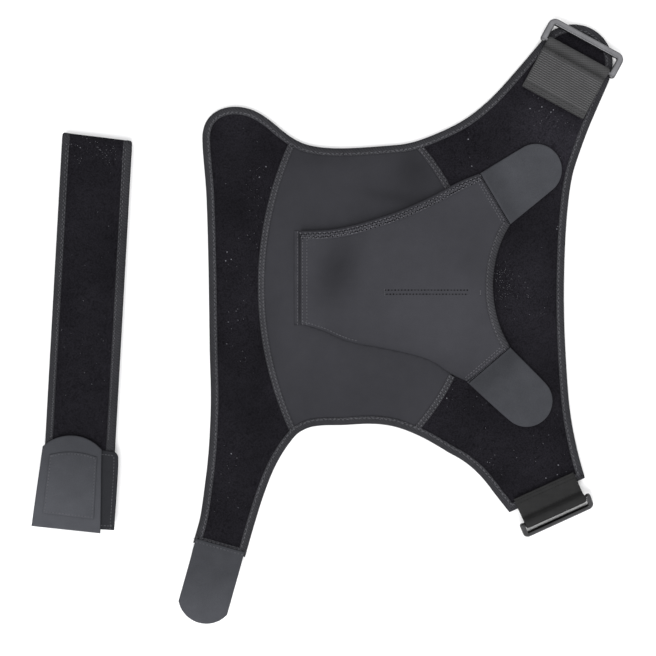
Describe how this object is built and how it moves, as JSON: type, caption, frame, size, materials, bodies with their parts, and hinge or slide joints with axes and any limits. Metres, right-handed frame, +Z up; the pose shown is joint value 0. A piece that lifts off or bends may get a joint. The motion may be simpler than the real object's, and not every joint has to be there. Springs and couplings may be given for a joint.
{
  "type": "shoulder brace with chest strap",
  "caption": "Soft shoulder brace laid flat: upper-arm cuff, shoulder cup with a pad pocket, chest panel with strap rings, and its folded chest strap.",
  "frame": {"origin": "on the table, under the centre of the whole laid-out brace and strap", "axes": "+Z up from the table, +Y from the cuff's tail to the neck edge, +X from the cuff to the back edge"},
  "size_m": [0.4252, 0.4366, 0.0225],
  "materials": {
    "pile": "short black loop pile with pale lint",
    "smooth_cloth": "smooth matt knit over foam",
    "tape": "folded binding tape, stitched",
    "tab_cloth": "smooth brushed tab cloth",
    "ribbed_webbing": "webbing ribbed across its length",
    "plain_webbing": "smooth dark webbing",
    "grey_ring": "glossy grey",
    "dark_ring": "glossy dark grey"
  },
  "bodies": {
    "brace": {"cuff_panel": "pile", "centre_panel": "smooth_cloth", "chest_panel": "pile", "edge_binding": "tape", "cuff_seam_tape": "tape", "chest_seam_tape_upper": "tape", "chest_seam_tape_lower": "tape", "pad_panel": "smooth_cloth", "pad_hem": "smooth_cloth", "pad_binding": "tape", "pad_side_band": "smooth_cloth", "pad_tab_upper": "tab_cloth", "pad_tab_lower": "tab_cloth", "cuff_tab": "tab_cloth", "upper_webbing": "ribbed_webbing", "lower_webbing": "plain_webbing", "strap": "pile", "strap_binding_left": "tape", "strap_binding_right": "tape", "strap_flap_lower": "tab_cloth", "strap_flap_upper": "tab_cloth", "strap_hook_patch": "tab_cloth"},
    "upper_ring": {"upper_ring": "grey_ring"},
    "lower_ring": {"lower_ring": "dark_ring"}
  },
  "joints": [
    {"name": "upper_ring_swing", "type": "hinge", "parent": "brace", "child": "upper_ring", "pos_m": [0.17958, 0.19051, 0.0084], "axis": [0.8771, -0.4802, 0], "range_deg": [0, 170]},
    {"name": "lower_ring_swing", "type": "hinge", "parent": "brace", "child": "lower_ring", "pos_m": [0.16336, -0.13593, 0.0084], "axis": [-0.91, -0.4147, 0], "range_deg": [-60, 170]}
  ]
}
